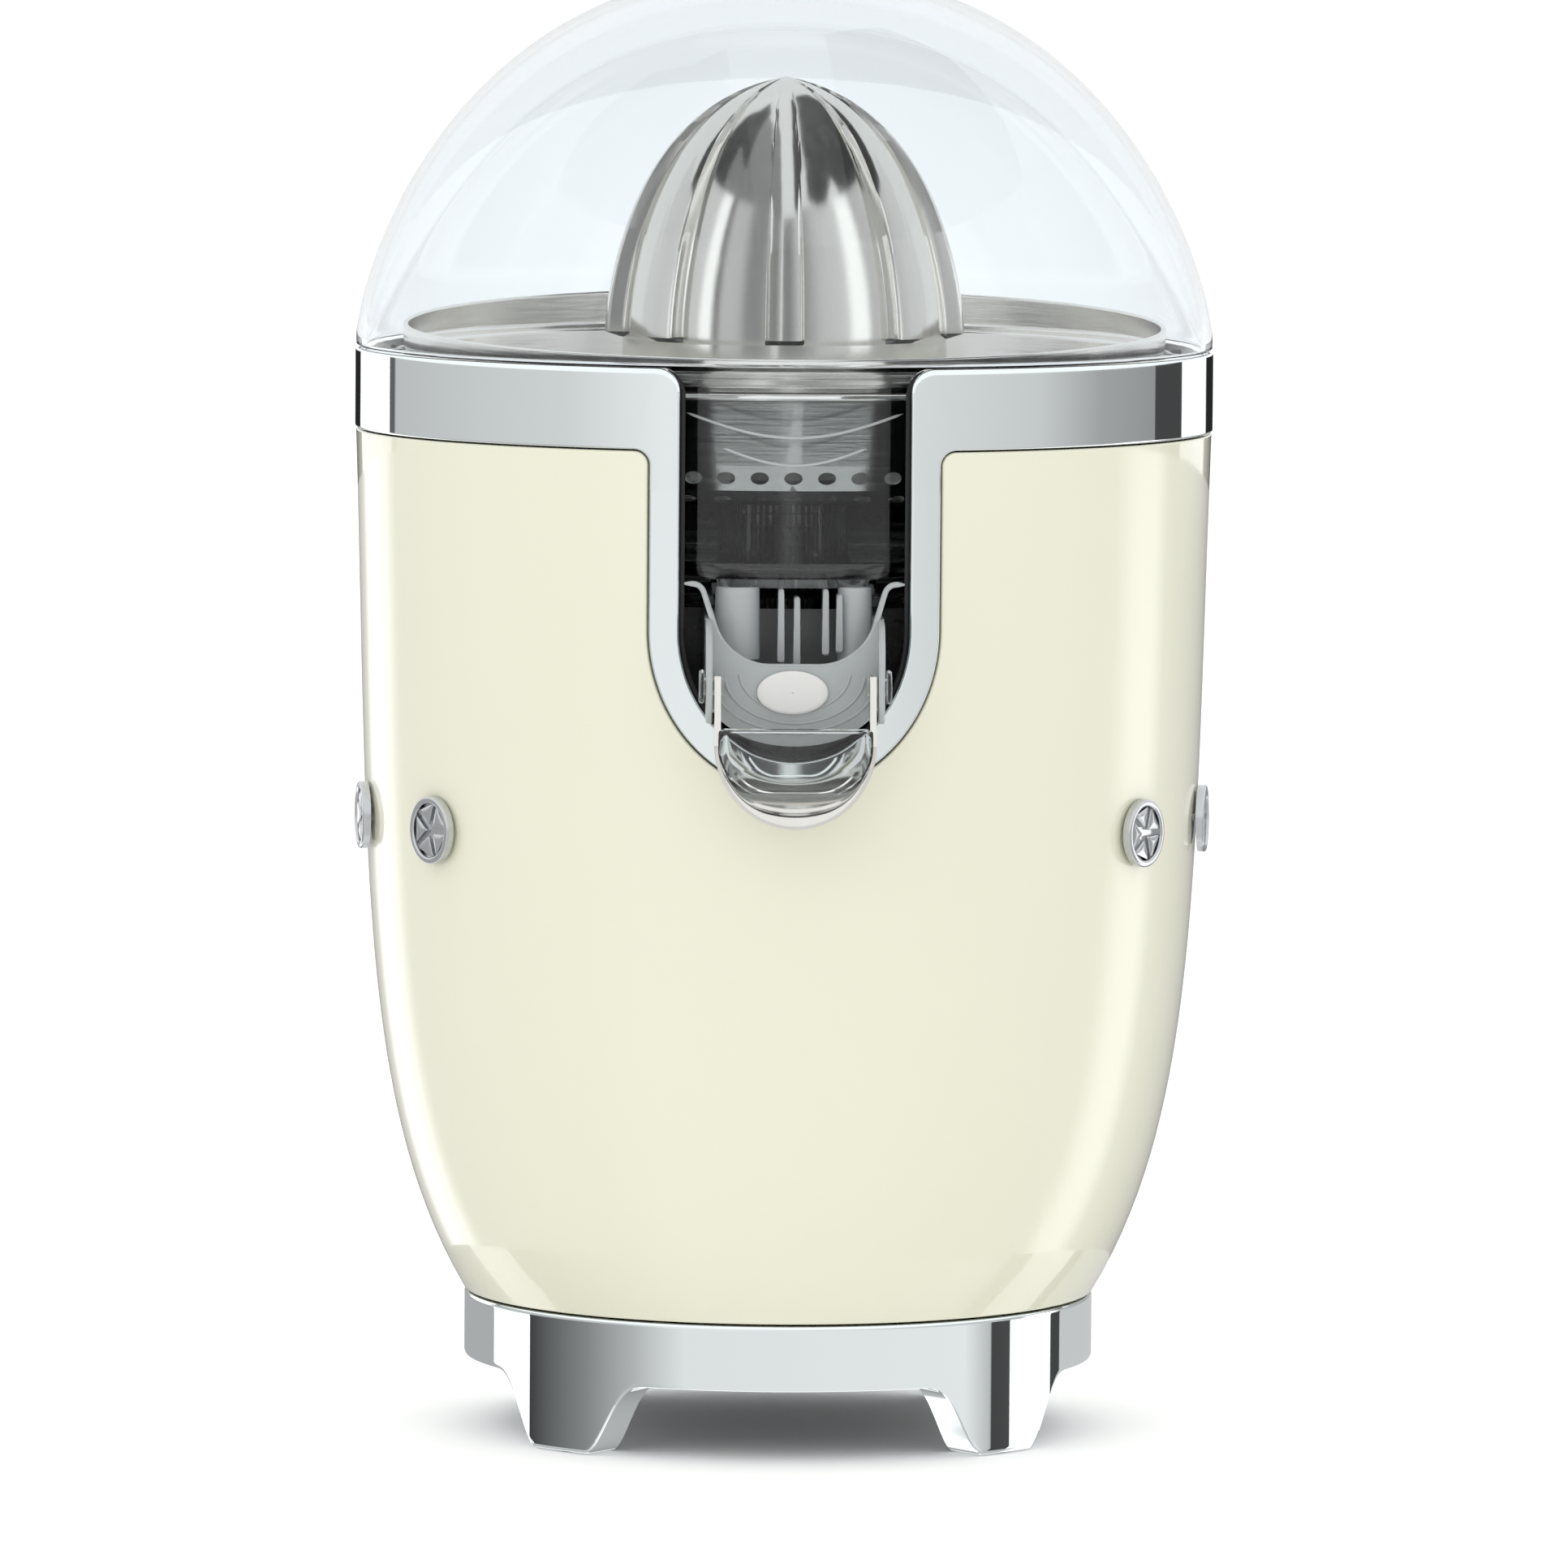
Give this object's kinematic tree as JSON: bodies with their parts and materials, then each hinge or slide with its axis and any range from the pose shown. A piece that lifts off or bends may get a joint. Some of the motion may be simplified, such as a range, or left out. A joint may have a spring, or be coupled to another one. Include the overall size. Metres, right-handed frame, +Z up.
{
  "type": "citrus press juicer",
  "caption": "Electric citrus press: rounded cream body on a chrome base, clear domed lid, ribbed steel reamer over a strainer and clear bowl, tilting front pouring lip.",
  "frame": {"origin": "centre of the overall footprint, on the surface the feet stand on", "axes": "+Z up, -Y is the front with the pouring lip, +X to the right of someone facing +Y"},
  "size_m": [0.1664, 0.1779, 0.284],
  "materials": {
    "cream_enamel": "gloss cream paint",
    "chrome": "mirror chrome",
    "steel": "satin stainless steel",
    "clear_plastic": "clear gloss plastic",
    "dark_plastic": "dark moulded plastic",
    "grey_plastic": "grey moulded plastic",
    "white_plastic": "natural acetal",
    "rubber": "matt black rubber",
    "bronze": "sintered bronze",
    "ferrite": "dark ferrite",
    "board_green": "green laminate"
  },
  "bodies": {
    "housing": {"badge_left_1": "chrome", "badge_left_2": "chrome", "badge_left_3": "chrome", "badge_left_4": "chrome", "badge_right_1": "chrome", "badge_right_2": "chrome", "badge_right_3": "chrome", "badge_right_4": "chrome", "base_ring": "chrome", "base_screw_1": "steel", "base_screw_2": "steel", "base_screw_3": "steel", "base_screw_4": "steel", "bottom_plate": "dark_plastic", "bowl_well": "grey_plastic", "capacitor": "dark_plastic", "control_board": "board_green", "cord_inlet": "rubber", "foot_pad_1": "rubber", "foot_pad_2": "rubber", "foot_pad_3": "rubber", "foot_pad_4": "rubber", "gearbox_cover": "dark_plastic", "gearbox_screw_1": "steel", "gearbox_screw_2": "steel", "gearbox_screw_3": "steel", "gearbox_screw_4": "steel", "housing_shell": "cream_enamel", "idler_axle": "steel", "magnet_left": "ferrite", "magnet_right": "ferrite", "motor_can": "steel", "motor_cap": "white_plastic", "motor_plate": "steel", "opening_trim": "chrome", "return_spring": "steel", "shaft_bush": "bronze", "switch_body": "dark_plastic", "trim_band": "chrome"},
    "thrust": {"thrust_cup": "white_plastic"},
    "output": {"output_gear": "white_plastic", "drive_shaft": "steel"},
    "idler": {"idler_gear": "white_plastic"},
    "motor_rotor": {"rotor": "steel", "cooling_fan": "dark_plastic"},
    "lever": {"switch_lever": "steel"},
    "button": {"switch_button": "white_plastic"},
    "bowl": {"juice_bowl": "clear_plastic", "spout_chute": "clear_plastic", "bowl_seal": "rubber", "spout_pin_right": "clear_plastic", "spout_pin_left": "clear_plastic"},
    "spout_flap": {"spout_lip": "steel", "spout_shield": "clear_plastic"},
    "strainer_dish": {"strainer": "steel"},
    "reamer_core": {"reamer_hub": "white_plastic"},
    "reamer": {"reamer_cone": "steel"},
    "lid": {"lid_dome": "clear_plastic"}
  },
  "joints": [
    {"name": "reamer_press", "type": "slide", "parent": "housing", "child": "thrust", "axis": [0, 0, -1], "range_m": [0, 0.0025], "stiffness_N_per_m": 4000, "springref_m": -0.0025, "deforming": ["return_spring"]},
    {"name": "output_spin", "type": "hinge", "parent": "thrust", "child": "output", "pos_m": [0, 0.0057, 0.11], "axis": [0, 0, 1], "continuous": true},
    {"name": "idler_spin", "type": "hinge", "parent": "housing", "child": "idler", "pos_m": [0, 0.0462, 0.1], "axis": [0, 0, 1], "continuous": true},
    {"name": "motor_spin", "type": "hinge", "parent": "housing", "child": "motor_rotor", "pos_m": [0, 0.0217, 0.06], "axis": [0, 0, 1], "continuous": true},
    {"name": "switch_lever_tilt", "type": "hinge", "parent": "housing", "child": "lever", "pos_m": [-0.035, 0.0057, 0.0979], "axis": [0, 1, 0], "range_deg": [0, 4.2]},
    {"name": "switch_button_travel", "type": "slide", "parent": "housing", "child": "button", "axis": [0, 0, -1], "range_m": [0, 0.00075]},
    {"name": "bowl_lift", "type": "slide", "parent": "housing", "child": "bowl", "axis": [0, 0, 1], "range_m": [0, 0.1]},
    {"name": "spout_tilt", "type": "hinge", "parent": "bowl", "child": "spout_flap", "pos_m": [0, -0.0828, 0.151], "axis": [-1, 0, 0], "range_deg": [0, 50]},
    {"name": "strainer_lift", "type": "slide", "parent": "bowl", "child": "strainer_dish", "axis": [0, 0, 1], "range_m": [0, 0.06]},
    {"name": "hub_spin", "type": "hinge", "parent": "strainer_dish", "child": "reamer_core", "pos_m": [0, 0.0057, 0.2], "axis": [0, 0, 1], "continuous": true},
    {"name": "cone_press", "type": "slide", "parent": "reamer_core", "child": "reamer", "axis": [0, 0, -1], "range_m": [0, 0.0025]},
    {"name": "lid_lift", "type": "slide", "parent": "strainer_dish", "child": "lid", "axis": [0, 0, 1], "range_m": [0, 0.08]}
  ],
  "couplings": [
    {"joint": "idler_spin", "follows": "output_spin", "ratio": -4.4},
    {"joint": "motor_spin", "follows": "output_spin", "ratio": 19.556},
    {"joint": "hub_spin", "follows": "output_spin", "ratio": 1},
    {"joint": "switch_lever_tilt", "follows": "reamer_press", "rad_per_m": 28.2},
    {"joint": "switch_button_travel", "follows": "reamer_press", "ratio": 0.28},
    {"joint": "cone_press", "follows": "reamer_press", "ratio": 1}
  ]
}
